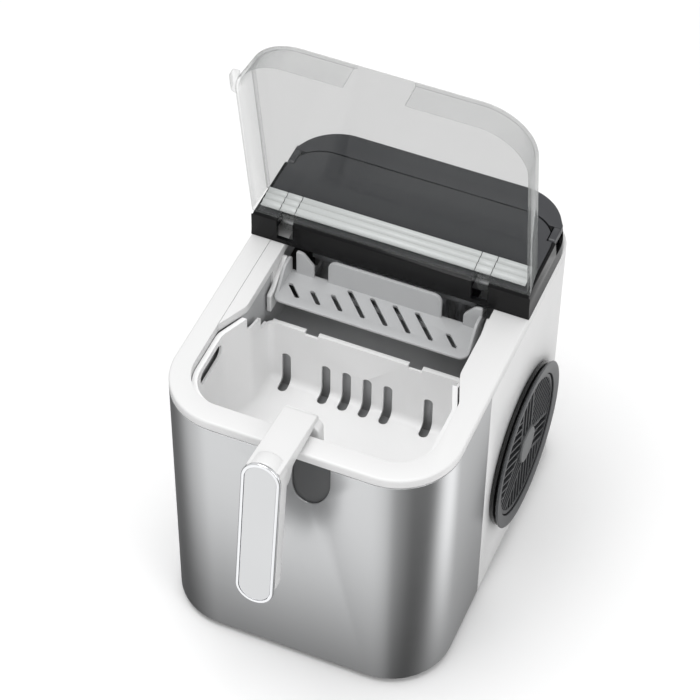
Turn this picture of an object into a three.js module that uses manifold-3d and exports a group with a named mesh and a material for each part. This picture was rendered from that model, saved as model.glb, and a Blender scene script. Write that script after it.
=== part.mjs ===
// Countertop bullet-ice maker: housing, hinged clear lid, lift-out ice basket, ice pusher and works.
// Millimetres, +Z up, the front faces -Y, the origin is under the middle of the bounding box.
import * as THREE from 'three';
import { mergeVertices } from 'three/addons/utils/BufferGeometryUtils.js';
import Module from 'manifold-3d';

const wasm = await Module();
wasm.setup();

// ---------------------------------------------------------------- driving dimensions
const HALF_W = 112;            // half width of the body
const DEPTH = 290;             // front face to rear face
const R_FRONT = 49.5;          // vertical front corners
const R_REAR = 30;             // vertical rear corners
const H_STEEL = 230.7;         // top of the steel wrap
const H_DECK = 238.9;          // top of the white deck
const H_TOP = 263.6;           // top of the black rear housing
const SEAM_Y = 107.5;          // side seam between steel and plastic
const SHEET = 1.2;             // steel thickness
const WALL = 2.6;              // plastic wall
const Y_BLACK = 182.6;         // front face of the black housing
const FOOT_H = 5.5;            // feet
const GAP = 0.3;               // between touching pieces
const FAN_Y = 186.9, FAN_Z = 95.3;      // side fan and grille axis
const R_BLADE = 50;            // fan blade tips
const LID_Y = 196.2, LID_Z = 249.6;     // lid hinge axis
const LID_OPEN = 81;           // degrees from closed to the resting open pose
const HINGE_SLOTS = [[-90.5, -77.5], [65.5, 78.5]];     // across the black housing, for the lid ears
const HANDLE_X = -3.5;         // middle of the basket handle
const BASKET_FLOOR = 131, RIM_Z = 194.8;   // basket floor and rear rim
const FINGERS = 9;
const LID_REAR = 180, LID_SWEEP = 18.2; // rear edge of the lid; what it clears as it turns about its axis
const FOLD_Y = 246, FOLD_Z = 259.8, FOLD_R = 3.4;   // carry handle axis and the radius of its arm ends
const TRAY_Y = 201, TRAY_Z = 199;       // water tray axis
const OFFSET = [-2.4, -118.65, FOOT_H];

// ---------------------------------------------------------------- helpers
const v2 = (x, y) => new THREE.Vector2(x, y);

function rounded(corners, seg = 8) {
  // corners: [x, y, radius]; returns the outline with each corner rounded
  const out = [];
  const n = corners.length;
  for (let i = 0; i < n; i++) {
    const [x, y, r] = corners[i];
    if (!r) { out.push([x, y]); continue; }
    const a = corners[(i + n - 1) % n], b = corners[(i + 1) % n];
    const u = v2(a[0] - x, a[1] - y).normalize(), w = v2(b[0] - x, b[1] - y).normalize();
    const half = Math.acos(THREE.MathUtils.clamp(u.dot(w), -1, 1)) / 2;
    const t = r / Math.tan(half);
    const mid = u.clone().add(w).normalize().multiplyScalar(r / Math.sin(half));
    const c = v2(x + mid.x, y + mid.y);
    const p = v2(x + u.x * t, y + u.y * t), q = v2(x + w.x * t, y + w.y * t);
    const a0 = Math.atan2(p.y - c.y, p.x - c.x);
    let da = Math.atan2(q.y - c.y, q.x - c.x) - a0;
    if (da > Math.PI) da -= 2 * Math.PI;
    if (da < -Math.PI) da += 2 * Math.PI;
    const k = Math.max(1, Math.round(seg * Math.abs(da) / (Math.PI / 2)));
    for (let j = 0; j <= k; j++) {
      out.push([c.x + r * Math.cos(a0 + da * j / k), c.y + r * Math.sin(a0 + da * j / k)]);
    }
  }
  return out;
}

const rect = (x0, y0, x1, y1, r = 0, seg = 4) =>
  rounded([[x0, y0, r], [x1, y0, r], [x1, y1, r], [x0, y1, r]], seg);

// outline extruded along an axis: z uses (x, y), x uses (y, z), y uses (x, z)
function prism(points, a0, a1, axis = 'z', holes = []) {
  const map = axis === 'y' ? ([x, z]) => v2(z, x) : ([x, y]) => v2(x, y);
  const shape = new THREE.Shape(points.map(map));
  for (const h of holes) shape.holes.push(new THREE.Path(h.map(map)));
  const g = new THREE.ExtrudeGeometry(shape, { depth: a1 - a0, bevelEnabled: false, steps: 1 });
  g.translate(0, 0, a0);
  const m = new THREE.Matrix4();
  if (axis === 'x') m.set(0, 0, 1, 0, 1, 0, 0, 0, 0, 1, 0, 0, 0, 0, 0, 1);
  if (axis === 'y') m.set(0, 1, 0, 0, 0, 0, 1, 0, 1, 0, 0, 0, 0, 0, 0, 1);
  g.applyMatrix4(m);
  return g;
}

function box(x0, x1, y0, y1, z0, z1) {
  const g = new THREE.BoxGeometry(x1 - x0, y1 - y0, z1 - z0);
  g.translate((x0 + x1) / 2, (y0 + y1) / 2, (z0 + z1) / 2);
  return g;
}

function cylinder(axis, c, r0, r1, a0, a1, seg = 24) {
  // c is the centre in the two other axes: z (x, y), x (y, z), y (x, z)
  const g = new THREE.CylinderGeometry(r1, r0, a1 - a0, seg);
  const m = (a0 + a1) / 2;
  if (axis === 'z') { g.rotateX(Math.PI / 2); g.translate(c[0], c[1], m); }
  if (axis === 'x') { g.rotateZ(-Math.PI / 2); g.translate(m, c[0], c[1]); }
  if (axis === 'y') { g.translate(c[0], m, c[1]); }
  return g;
}

function lathe(profile, axis, c, seg = 40) {
  // profile: [radius, height] pairs from bottom to top along the axis
  const g = new THREE.LatheGeometry(profile.map(([r, h]) => v2(r, h)), seg);
  if (axis === 'z') { g.rotateX(Math.PI / 2); g.translate(c[0], c[1], 0); }
  if (axis === 'x') { g.rotateZ(-Math.PI / 2); g.translate(0, c[0], c[1]); }
  return g;
}

function solid(geometry) {
  let g = geometry.clone();
  g.deleteAttribute('normal');
  if (g.getAttribute('uv')) g.deleteAttribute('uv');
  g = mergeVertices(g, 1e-4);
  const man = new wasm.Manifold(new wasm.Mesh({
    numProp: 3,
    vertProperties: new Float32Array(g.getAttribute('position').array),
    triVerts: new Uint32Array(g.getIndex().array),
  }));
  return man;
}

const join = (...gs) => gs.map((g) => (g.isBufferGeometry ? solid(g) : g)).reduce((a, b) => a.add(b));
const cut = (a, ...gs) => gs.reduce((m, g) => m.subtract(g.isBufferGeometry ? solid(g) : g),
  a.isBufferGeometry ? solid(a) : a);
const meet = (a, b) => (a.isBufferGeometry ? solid(a) : a).intersect(b.isBufferGeometry ? solid(b) : b);

function geometryOf(man) {
  const m = man.getMesh();
  const g = new THREE.BufferGeometry();
  const pos = new Float32Array(m.numVert * 3);
  for (let i = 0; i < m.numVert; i++) {
    for (let k = 0; k < 3; k++) pos[i * 3 + k] = m.vertProperties[i * m.numProp + k];
  }
  g.setAttribute('position', new THREE.BufferAttribute(pos, 3));
  g.setIndex(new THREE.BufferAttribute(new Uint32Array(m.triVerts), 1));
  g.computeVertexNormals();
  return g;
}

const LOOKS = {
  steel: { color: 0xb9bbbd, roughness: 0.32, metalness: 1 },
  white: { color: 0xe6e6e6, roughness: 0.4, metalness: 0 },
  black: { color: 0x1b1c1d, roughness: 0.2, metalness: 0 },
  matt: { color: 0x232425, roughness: 0.6, metalness: 0 },
  grey: { color: 0xb2b4b4, roughness: 0.45, metalness: 0 },
  clear: { color: 0xdfe6e3, roughness: 0.05, metalness: 0, transparent: true, opacity: 0.35 },
  chrome: { color: 0xe8e8ea, roughness: 0.06, metalness: 1 },
  satin: { color: 0xcfd0d1, roughness: 0.35, metalness: 1 },
  rubber: { color: 0x2a2a2a, roughness: 0.85, metalness: 0 },
  green: { color: 0x1f6a3c, roughness: 0.5, metalness: 0 },
  copper: { color: 0xb87446, roughness: 0.3, metalness: 1 },
};

function piece(parent, name, shape, look) {
  const g = shape.isBufferGeometry ? shape : geometryOf(shape);
  const mesh = new THREE.Mesh(g, new THREE.MeshStandardMaterial(LOOKS[look]));
  mesh.name = name;
  parent.add(mesh);
  return mesh;
}

// ---------------------------------------------------------------- outlines
// body plan view, drawn in by d on every side
function bodyOutline(d = 0, seg = 10) {
  return rounded([
    [-HALF_W + d, d, R_FRONT - d], [HALF_W - d, d, R_FRONT - d],
    [HALF_W - d, DEPTH - d, R_REAR - d], [-HALF_W + d, DEPTH - d, R_REAR - d],
  ], seg);
}

// opening in the deck and everything that stands inside it, drawn in by d
function wellOutline(d = 0, yRear = 182, seg = 8) {
  return rounded([
    [-96 + d, 17.6 + d, 32 - d], [94 - d, 17.6 + d, 32 - d],
    [94 - d, 88, 6], [84.5 - d, 114, 6], [84.5 - d, yRear - d, 0],
    [-96 + d, yRear - d, 0],
  ], seg);
}

// ---------------------------------------------------------------- housing
function basePlate() {
  const plate = prism(bodyOutline(SHEET + 1.8), GAP, 4.2);
  const boss = (x, y) => cylinder('z', [x, y], 4, 4, 4, 9.5, 12);
  return join(plate, boss(-84, 215), boss(-6, 215), boss(-84, 245), boss(-6, 245));
}

function foot(x, y) {
  return lathe([[0, -FOOT_H], [9, -FOOT_H], [10.5, -FOOT_H + 1.2], [10.5, -0.6], [9.5, 0], [0, 0]], 'z', [x, y], 20);
}

function steelWrap() {
  const shell = prism(bodyOutline(0), 0, H_STEEL, 'z', [bodyOutline(SHEET)]);
  const front = meet(shell, box(-HALF_W - 1, HALF_W + 1, -1, SEAM_Y, -1, H_STEEL + 1));
  const notch = rounded([[17 - 14.7, 188, 14.6], [17 + 14.7, 188, 14.6], [17 + 14.7, 240, 0], [17 - 14.7, 240, 0]], 8);
  return cut(front, prism(notch, -1, 3, 'y'));
}

function rearHousing() {
  const y0 = SEAM_Y + GAP;
  const shell = prism(bodyOutline(0), 0, H_STEEL, 'z', [bodyOutline(WALL)]);
  let m = meet(shell, box(-HALF_W - 1, HALF_W + 1, y0, DEPTH + 1, -1, H_STEEL + 1));
  m = cut(m, cylinder('x', [FAN_Y, FAN_Z], 57.5, 57.5, 90, 120, 40));
  const holes = [];
  for (let i = 0; i < 9; i++) holes.push(box(-62 + i * 10, -57 + i * 10, 280, 295, 120, 190));
  holes.push(box(50, 78, 280, 295, 22, 46));
  holes.push(cylinder('y', [-70, 22], 8, 8, 280, 295, 20));
  return cut(m, ...holes);
}

function topDeck() {
  const z0 = H_STEEL + GAP;
  const slab = prism(bodyOutline(0), z0, H_DECK, 'z', [wellOutline(0, 236)]);
  return solid(slab);
}

function tank() {
  // stepped tub: reservoir below the basket in front, shallow shelf under the ice works
  const side = (d) => [
    [15.2 + d, 46 + d], [116 - d, 46 + d], [116 - d, 119 + d], [151 - d, 119 + d], [151 - d, 166 + d],
    [229 - d, 166 + d], [229 - d, 230.6 + (d ? 3 : 0)], [15.2 + d, 230.6 + (d ? 3 : 0)],
  ];
  const plan = (d) => prism(rounded([
    [-99 + d, 15.2 + d, 34 - d], [97 - d, 15.2 + d, 34 - d], [97 - d, 90, 6], [88 - d, 116, 6],
    [88 - d, 232, 0], [-88 + d, 232, 0], [-88 + d, 116, 6], [-99 + d, 90, 6]], 8), 40, 240);
  const outer = meet(prism(side(0), -100, 100, 'x'), plan(0));
  const inner = meet(prism(side(2.2), -99, 99, 'x'), plan(2.2));
  return cut(outer, inner);
}

function notchBacking() {
  return prism(rect(-1, 184, 35, 230, 5), SHEET + GAP, 4.2, 'y');
}

function blackTop() {
  const z0 = H_DECK + GAP, h = H_TOP - z0;
  const plan = (d, y0, seg = 10) => rounded([[-HALF_W + d, y0, 3], [HALF_W - d, y0, 3],
    [HALF_W - d, DEPTH + 1.6 - d, 42 - d], [-HALF_W + d, DEPTH + 1.6 - d, 42 - d]], seg);
  const taper = (g, top) => {
    const p = g.getAttribute('position');
    for (let i = 0; i < p.count; i++) {
      const t = (p.getZ(i) - z0) / h;
      p.setX(i, p.getX(i) * (1 - (1 - top / HALF_W) * Math.max(0, t)));
    }
    return g;
  };
  const outer = solid(taper(prism(plan(0, Y_BLACK), z0, H_TOP), 109.8));
  const inner = prism(plan(4, Y_BLACK + 3, 6), z0 - 1, 253.2);
  // recess for the control plate on top, room for the lid ears in front, pockets for the handle
  const plateBed = prism(plateOutline(-0.3), 261.7, H_TOP + 1);
  const handleBed = meet(prism(plan(1.6, 200, 10), 255.3, H_TOP + 1),
    prism([[-120, 256.4], [120, 256.4], [120, 300], [-120, 300]], 250, 270));
  const shelf = meet(prism(plateOutline(0, -1.5), 250, 261.7), box(-100, 100, 180, 300, 240, 270));
  let m = cut(outer, inner, plateBed, cut(handleBed, shelf));
  m = cut(m, ...armSlots());
  // broken front edge, so that the back wall of the lid turns past it
  const y = Y_BLACK - 1, z = H_TOP + 1;
  m = cut(m, prism([[y, z - 4.5], [y + 4.5, z], [y, z]], -120, 120, 'x'));
  for (const [a, b] of HINGE_SLOTS) m = cut(m, box(a, b, 180, 210, 243.2, 270));
  return m;
}

// slots beside the control plate for the arms of the carry handle, open to the side as finger recesses
function armSlots() {
  const y0 = FOLD_Y - FOLD_R - 1;
  return [box(102.3, 120, y0, 266, 250.6, 270), box(-120, -102.3, y0, 266, 250.6, 270)];
}

// control plate seen from above: straight front, large rear corner radii
function plateOutline(d = 0, e = 0) {
  return rounded([[-107.5 + d, Y_BLACK + 3 + d, 2], [107.5 - d, Y_BLACK + 3 + d, 2],
    [107.5 - d, 264.6 - d + e, 30], [-107.5 + d, 264.6 - d + e, 30]], 10);
}

function controlPlate() {
  const slots = HINGE_SLOTS.map(([a, b]) => box(a, b, 180, 210, 240, 270));
  return cut(prism(plateOutline(0.1), 262, H_TOP), ...armSlots(), ...slots);
}

function carryHandle() {
  const plan = rounded([[-109, 180, 0], [109, 180, 0], [109, DEPTH - 0.4, 40], [-109, DEPTH - 0.4, 40]], 12);
  let bar = meet(prism(plan, 256, H_TOP), box(-120, 120, 257.5, 300, 240, 280));
  bar = cut(bar, prism(rounded([[-108.6, 180, 0], [108.6, 180, 0], [108.6, 265.6, 30.5], [-108.6, 265.6, 30.5]], 10),
    240, 280));
  const side = rounded([[FOLD_Y - FOLD_R, FOLD_Z - FOLD_R, FOLD_R - 0.01], [262, FOLD_Z - FOLD_R, 0],
    [262, FOLD_Z + FOLD_R, 0], [FOLD_Y - FOLD_R, FOLD_Z + FOLD_R, FOLD_R - 0.01]], 6);
  return join(bar, prism(side, 103, 108.4, 'x'), prism(side, -108.4, -103, 'x'));
}

// ---------------------------------------------------------------- lid (drawn closed, then opened)
function lid() {
  const yF = 1.2, top = 263.2, low = H_DECK + GAP;
  const plan = (d, yR, rR) => rounded([[-108.2 + d, yF + d, 41 - d], [108.2 - d, yF + d, 41 - d],
    [108.2 - d, yR, rR], [-108.2 + d, yR, rR]], 9);
  const shellOf = (d, yR, rR, z0, z1) => {
    const g = prism(plan(d, yR, rR), z0, z1);
    const p = g.getAttribute('position');
    for (let i = 0; i < p.count; i++) {
      const t = (top - p.getZ(i)) / (top - low) * 2.6;   // walls lean out towards the free edge
      const x = p.getX(i), y = p.getY(i);
      p.setX(i, x + Math.sign(x) * t * Math.min(1, Math.abs(x) / 60));
      if (y < 100) p.setY(i, y - t * Math.min(1, (100 - y) / 60));
    }
    return solid(g);
  };
  let m = cut(shellOf(0, LID_REAR, 1.5, low, top), shellOf(2.2, LID_REAR - 3.8, 0, low - 3, top - 2.4));
  // shallow channel along the back wall, round the hinge axis
  m = cut(m, cylinder('x', [LID_Y, LID_Z], LID_SWEEP, LID_SWEEP, -120, 120, 120));
  const notch = rounded([[HANDLE_X - 23, 220, 0], [HANDLE_X + 23, 220, 0], [HANDLE_X + 23, 262.2, 4], [HANDLE_X - 23, 262.2, 4]], 4);
  m = cut(m, prism(notch, -20, 12, 'y'));
  // finger tab at the front left corner
  m = m.add(solid(box(-115.5, -108.6, 24, 44, 240.5, 246.5)));
  // two ears reach back into the black housing and carry the pin bores
  for (const [a, b] of [[-88, -80], [68, 76]]) {
    const ear = rounded([[176, 243.5, 2], [LID_Y - 3, 243.5, 2], [LID_Y + 5.6, 244.5, 5], [LID_Y + 5.6, 255.2, 5],
      [186, 256.5, 3], [183, 260.9, 0], [179, 260.9, 0]], 4);
    m = m.add(solid(prism(ear, a, b, 'x')));
    m = cut(m, cylinder('x', [LID_Y, LID_Z], 2.4, 2.4, a - 1, b + 1, 16));
  }
  return m;
}

// ---------------------------------------------------------------- ice basket
function basketOutline(d) {
  return rounded([
    [-93.5 + d, 20.2 + d, 29 - d], [91.5 - d, 20.2 + d, 29 - d],
    [91.5 - d, 86, 5], [81.8 - d, 112, 5], [81.8 - d, 145 - d, 6],
    [-81.8 + d, 145 - d, 6], [-81.8 + d, 112, 5], [-93.5 + d, 86, 5],
  ], 7);
}

function basket() {
  const outer = join(prism(basketOutline(0), BASKET_FLOOR, 231.5), prism(basketOutline(-2.1), 229.5, 231.5));
  const inner = prism(basketOutline(2), BASKET_FLOOR + 2.4, 240);
  let m = cut(outer, inner);
  // stepped rim: the side walls fall in two steps to the low rear wall
  const step = [[108, 260], [108, 220], [128, 214], [128, 201], [139, 199], [139, RIM_Z], [160, RIM_Z], [160, 260]];
  m = cut(m, prism(step, -100, 100, 'x'));
  // narrow ledge behind the rear rim
  m = join(m, box(-78, 78, 144, 147.2, RIM_Z - 2, RIM_Z));
  // two notches in the rear rim
  m = cut(m, box(-50.6, -39.7, 138, 152, RIM_Z - 3, 200), box(33.4, 44.5, 138, 152, RIM_Z - 3, 200));
  // drain slots that turn from the rear wall into the floor
  for (const x of [-66, -33, -16, 1, 18, 51]) {
    const slot = rounded([[x - 3.7, 126, 0], [x + 3.7, 126, 0], [x + 3.7, 164, 3.6], [x - 3.7, 164, 3.6]], 3);
    const floor = rounded([[x - 3.7, 131, 3.6], [x + 3.7, 131, 3.6], [x + 3.7, 150, 0], [x - 3.7, 150, 0]], 3);
    m = cut(m, prism(slot, 138, 150, 'y'), prism(floor, 126, 136));
  }
  // long hole in the left wall
  const hole = rounded([[48, 213, 6], [84, 213, 6], [84, 226, 6], [48, 226, 6]], 4);
  return cut(m, prism(hole, -100, -80, 'x'));
}

// lean of the grip: it stands further out at its lower end
const GRIP_TOP = [-41, 248.5], GRIP_LOW = [-56, 145];
const LEAN = Math.atan2(GRIP_TOP[0] - GRIP_LOW[0], GRIP_TOP[1] - GRIP_LOW[1]);

function gripSlab(r, z0, z1, front, back, seg = 8) {
  // stadium slab in the plane of the grip, between two distances behind its front plane
  const L = Math.hypot(GRIP_TOP[0] - GRIP_LOW[0], GRIP_TOP[1] - GRIP_LOW[1]);
  const o = rounded([[-r, -L - z1, r - 0.01], [r, -L - z1, r - 0.01], [r, z0, r - 0.01], [-r, z0, r - 0.01]], seg);
  const g = prism(o, front, back, 'y');
  g.rotateX(-LEAN);
  g.translate(HANDLE_X, GRIP_TOP[0], GRIP_TOP[1]);
  return g;
}

function basketHandle() {
  const arm = rounded([[22.6, 205, 2], [32, 205, 2], [32.5, 248, 5], [-28, 256, 0], [-41, 258, 0],
    [-41, 236, 0], [-20, 226, 10], [-13, 241, 4], [22.6, 240.6, 0]], 4);
  const saddle = rounded([[-16, 205, 0], [11, 205, 0], [13.4, 214, 5], [13.2, 240, 7],
    [4, 247.5, 4], [-16, 247.5, 0]], 4);
  let m = join(prism(arm, HANDLE_X - 12.7, HANDLE_X + 12.7, 'x'), prism(saddle, 22.6, 32, 'y'));
  m = m.add(solid(gripSlab(13.6, 13.6, 13.6, 3.2, 18.5)));
  m = meet(m, cut(solid(box(-40, 40, -90, 60, 100, 262)), gripSlab(30, 40, 40, -20, 3.2, 2)));
  return m;
}

function gripRing() {
  const a = solid(gripSlab(15, 15, 15, 0, 2.9, 10));
  return cut(a, gripSlab(12.3, 12.3, 12.3, -1, 1.3, 10));
}

// ---------------------------------------------------------------- ice works
// sliding shovel plate with slanted drain slots, an upright tab behind and a clip at each side
function icePusher() {
  const y0 = 147.7, y1 = 182.3, z = 213.2, top = 238.2;
  const plan = rounded([[-79.9, y0, 7], [76.9, y0, 7], [76.9, y1, 3], [-79.9, y1, 3]], 4);
  let plate = solid(prism(plan, z, z + 2.4));
  for (const [x, a, b] of [[-67.6, 155.6, 168], [-49.8, 155.4, 167], [-33, 156, 169.6], [-19, 156.2, 178.6],
    [-0.4, 155.7, 178], [18, 155.5, 178], [36, 155.5, 177.8], [60, 155.7, 167.2]]) {
    const s = (b - a) * 0.47;
    plate = cut(plate, prism([[x - s - 2.4, b], [x + s - 2.4, a], [x + s + 2.4, a], [x - s + 2.4, b]], z - 2, z + 4));
  }
  const tab = prism(rounded([[-47.2, z + 1, 0], [44.4, z + 1, 0], [44.4, top, 7], [-47.2, top, 7]], 4), y1 - 2.8, y1, 'y');
  const clip = (a) => prism(rounded([[154, z + 1, 0], [y1, z + 1, 0], [y1, 231, 4], [170, 231, 8]], 4), a, a + 2.4, 'x');
  const lobe = (x, s) => prism([[x, z + 1], [x, top - 1], [x + s * 7, top - 2], [x + s * 13, top - 8],
    [x + s * 14.5, top - 13], [x + s * 14.5, z + 1]], y1 - 2.8, y1, 'y');
  return join(plate, tab, clip(-79.8), clip(74.4), lobe(-73.4, 1), lobe(76.4, -1));
}

function waterTray() {
  const n = 14, out = [], inn = [];
  for (let i = 0; i <= n; i++) {
    const a = Math.PI + Math.PI * i / n;
    out.push([TRAY_Y + 16 * Math.cos(a), TRAY_Z + 16 * Math.sin(a)]);
    inn.unshift([TRAY_Y + 14 * Math.cos(a), TRAY_Z + 14 * Math.sin(a)]);
  }
  const shell = prism([...out, ...inn], -66, 66, 'x');
  const end = (a, b) => prism(out, a, b, 'x');
  const boss = (a, b) => cylinder('x', [TRAY_Y, TRAY_Z], 5, 5, a, b, 14);
  return join(shell, end(-68, -66), end(66, 68), boss(-71.5, -67), boss(67, 71.5));
}

function evaporator() {
  const parts = [cylinder('x', [TRAY_Y, 221], 5, 5, -62, 62, 14)];
  for (let i = 0; i < FINGERS; i++) {
    const x = -52 + i * 13;
    parts.push(cylinder('z', [x, TRAY_Y], 3.6, 4.2, 191, 220, 10));
  }
  parts.push(box(-66, 66, TRAY_Y - 7, TRAY_Y + 7, 222, 226.5));
  return join(...parts);
}

// inner side walls beside the pusher; the left one carries a ledge flush with the deck
const GUIDE_SIDE = [[148, 200], [181, 200], [181, 232], [157, 219], [148, 216.4]];

function leftGuide() {
  const ledge = rounded([[-95.7, 89, 0], [-84, 114, 6], [-84, 225, 0], [-95.7, 225, 0]], 4);
  return join(prism(GUIDE_SIDE, -84.1, -80.4, 'x'), prism(ledge, 231.5, 238.6),
    box(-85.7, -83.9, 160, 181, 205, 232));
}

function rightGuide() {
  return prism(GUIDE_SIDE, 80.4, 84.1, 'x');
}

// ---------------------------------------------------------------- machinery
function compressor() {
  const c = [-45, 230];
  const pot = lathe([[0, 12], [36, 12], [40, 18], [40, 56], [42, 58], [42, 62], [40, 64], [40, 92], [33, 106], [18, 112],
    [0, 113]], 'z', c, 28);
  const tab = (s) => box(c[0] + s * 26 - 7, c[0] + s * 26 + 7, c[1] - 42, c[1] + 42, 10, 14);
  return join(pot, tab(1), tab(-1));
}

function condenser() {
  const parts = [box(56, 58, 153, 236, 30, 126), box(80, 82, 153, 236, 30, 126)];
  for (let i = 0; i < 4; i++) parts.push(cylinder('x', [164 + (i % 2) * 56, 42 + i * 24], 3.2, 3.2, 56.5, 81.5, 8));
  for (let i = 0; i < 5; i++) parts.push(box(60 + i * 4.2, 60.9 + i * 4.2, 156, 232, 32, 124));
  return join(...parts, box(59, 79.5, 184, 188, 31, 33));
}

function fanMotor() {
  const can = cylinder('x', [FAN_Y, FAN_Z], 17, 17, 83.5, 92, 20);
  const shaft = cylinder('x', [FAN_Y, FAN_Z], 2, 2, 91, 100, 10);
  return join(can, shaft);
}

function fan() {
  const hub = lathe([[2.4, 94], [15, 94], [15, 102], [12, 105], [2.4, 105], [2.4, 94]], 'x', [FAN_Y, FAN_Z], 24);
  const parts = [hub];
  for (let i = 0; i < 7; i++) {
    const g = new THREE.BoxGeometry(1.8, 26, R_BLADE - 13);
    g.translate(0, 0, (R_BLADE + 13) / 2);
    g.rotateZ(0.42);
    g.rotateX(i * 2 * Math.PI / 7);
    g.translate(99, FAN_Y, FAN_Z);
    parts.push(g);
  }
  const all = join(...parts);
  return meet(all, cylinder('x', [FAN_Y, FAN_Z], R_BLADE, R_BLADE, 93.8, 105.6, 36))
    .subtract(solid(cylinder('x', [FAN_Y, FAN_Z], 2.4, 2.4, 90, 110, 16)));
}

function fanShroud() {
  const ring = lathe([[R_BLADE + 2, 88.6], [55.5, 88.6], [55.5, 107], [R_BLADE + 2, 107], [R_BLADE + 2, 88.6]],
    'x', [FAN_Y, FAN_Z], 36);
  const parts = [ring];
  for (let i = 0; i < 3; i++) {
    const g = new THREE.BoxGeometry(2.6, 6, R_BLADE - 12);
    g.translate(0, 0, (R_BLADE + 17) / 2 + 2);
    g.rotateX(i * 2 * Math.PI / 3);
    g.translate(89.9, FAN_Y, FAN_Z);
    parts.push(g);
  }
  const bore = solid(cylinder('x', [FAN_Y, FAN_Z], 17.4, 17.4, 80, 93, 24));
  return join(...parts, lathe([[17.4, 88.6], [20.5, 88.6], [20.5, 91.6], [17.4, 91.6], [17.4, 88.6]], 'x', [FAN_Y, FAN_Z], 24))
    .subtract(bore);
}

// ---------------------------------------------------------------- side grille
function grilleRing() {
  const x0 = HALF_W + GAP;
  return lathe([[58.2, x0], [66.7, x0], [66.7, x0 + 3.6], [65.2, x0 + 4.4], [65.2, x0 + 5.2], [68.2, x0 + 5.8],
    [67.6, x0 + 7.6], [64.5, x0 + 8], [58.2, x0 + 6.2], [58.2, x0]], 'x', [FAN_Y, FAN_Z], 56);
}

function grilleMesh() {
  const x0 = HALF_W + 2.6, x1 = x0 + 2.6, r = 57.8;
  const parts = [lathe([[54.6, x0], [r, x0], [r, x1], [54.6, x1], [54.6, x0]], 'x', [FAN_Y, FAN_Z], 48)];
  const slats = [];
  for (let q = 0; q < 4; q++) {
    const quad = [];
    for (let i = 0; i < 7; i++) {
      const g = new THREE.BoxGeometry(x1 - x0 - 0.4, 60, 2.2);
      g.translate((x0 + x1) / 2, 30, 4 + i * 7.6);
      g.rotateX(q * Math.PI / 2);
      g.translate(0, FAN_Y, FAN_Z);
      quad.push(g);
    }
    slats.push(...quad);
  }
  const disc = cylinder('x', [FAN_Y, FAN_Z], 55.6, 55.6, x0, x1, 48);
  const all = meet(join(...slats), disc);
  const cross = meet(join(box(x0, x1, FAN_Y - 57, FAN_Y + 57, FAN_Z - 1.4, FAN_Z + 1.4),
    box(x0, x1, FAN_Y - 1.4, FAN_Y + 1.4, FAN_Z - 57, FAN_Z + 57)), disc);
  const hub = cylinder('x', [FAN_Y, FAN_Z], 16, 16, x0, x1, 28);
  return join(all, cross, hub, ...parts);
}

// ---------------------------------------------------------------- assembly
const root = new THREE.Group();

piece(root, 'base_plate', basePlate(), 'matt');
piece(root, 'foot_front_left', foot(-76, 40), 'rubber');
piece(root, 'foot_front_right', foot(76, 40), 'rubber');
piece(root, 'foot_rear_left', foot(-84, 262), 'rubber');
piece(root, 'foot_rear_right', foot(84, 262), 'rubber');
piece(root, 'steel_wrap', steelWrap(), 'steel');
piece(root, 'rear_housing', rearHousing(), 'white');
piece(root, 'top_deck', topDeck(), 'white');
piece(root, 'water_tank', tank(), 'white');
piece(root, 'notch_backing', notchBacking(), 'matt');
piece(root, 'top_housing', blackTop(), 'black');
piece(root, 'control_plate', controlPlate(), 'black');
piece(root, 'control_board', box(-46, 46, 212, 248, 250, 251.6), 'green');
piece(root, 'carry_handle', carryHandle(), 'black');
for (const [side, a, b] of [['left', -92, -76], ['right', 64, 80]]) {
  piece(root, `hinge_pin_${side}`, cylinder('x', [LID_Y, LID_Z], 2, 2, a, b, 16), 'satin');
}

const lidGroup = new THREE.Group();
lidGroup.position.set(0, LID_Y, LID_Z);
lidGroup.rotation.x = -THREE.MathUtils.degToRad(LID_OPEN);
const lidMesh = piece(lidGroup, 'lid', lid(), 'clear');
lidMesh.position.set(0, -LID_Y, -LID_Z);
root.add(lidGroup);

const basketGroup = new THREE.Group();
piece(basketGroup, 'ice_basket', basket(), 'white');
piece(basketGroup, 'basket_handle', basketHandle(), 'white');
piece(basketGroup, 'handle_ring', gripRing(), 'chrome');
piece(basketGroup, 'handle_plate', gripSlab(12, 12, 12, 0.3, 1, 10), 'satin');
root.add(basketGroup);

piece(root, 'ice_pusher', icePusher(), 'grey');
piece(root, 'water_tray', waterTray(), 'grey');
piece(root, 'evaporator', evaporator(), 'satin');
piece(root, 'left_guide', leftGuide(), 'white');
piece(root, 'right_guide', rightGuide(), 'white');
piece(root, 'tray_motor', join(box(-85.4, -74.5, TRAY_Y - 17, TRAY_Y + 17, 184, 214),
  cylinder('x', [TRAY_Y, TRAY_Z], 3, 3, -75, -71.8, 14)), 'matt');
piece(root, 'water_pump', join(box(-30, 10, 78, 108, 49, 72), cylinder('z', [-10, 93], 5, 5, 71, 84, 14)), 'matt');
piece(root, 'compressor', compressor(), 'matt');
piece(root, 'condenser', condenser(), 'satin');
piece(root, 'fan_motor', fanMotor(), 'matt');
piece(root, 'fan', fan(), 'matt');
piece(root, 'fan_shroud', fanShroud(), 'matt');
piece(root, 'grille_ring', grilleRing(), 'black');
piece(root, 'grille_mesh', grilleMesh(), 'black');
piece(root, 'grille_hub', cylinder('x', [FAN_Y, FAN_Z], 15, 14, HALF_W + 5.5, HALF_W + 7.4, 32), 'grey');
piece(root, 'main_board', box(-107.6, -106, 190, 262, 120, 205), 'green');
piece(root, 'power_inlet', join(box(50.4, 77.6, 272, 290.4, 22.4, 45.6), box(46, 82, 290.4, 292.2, 18, 50)), 'matt');
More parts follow.
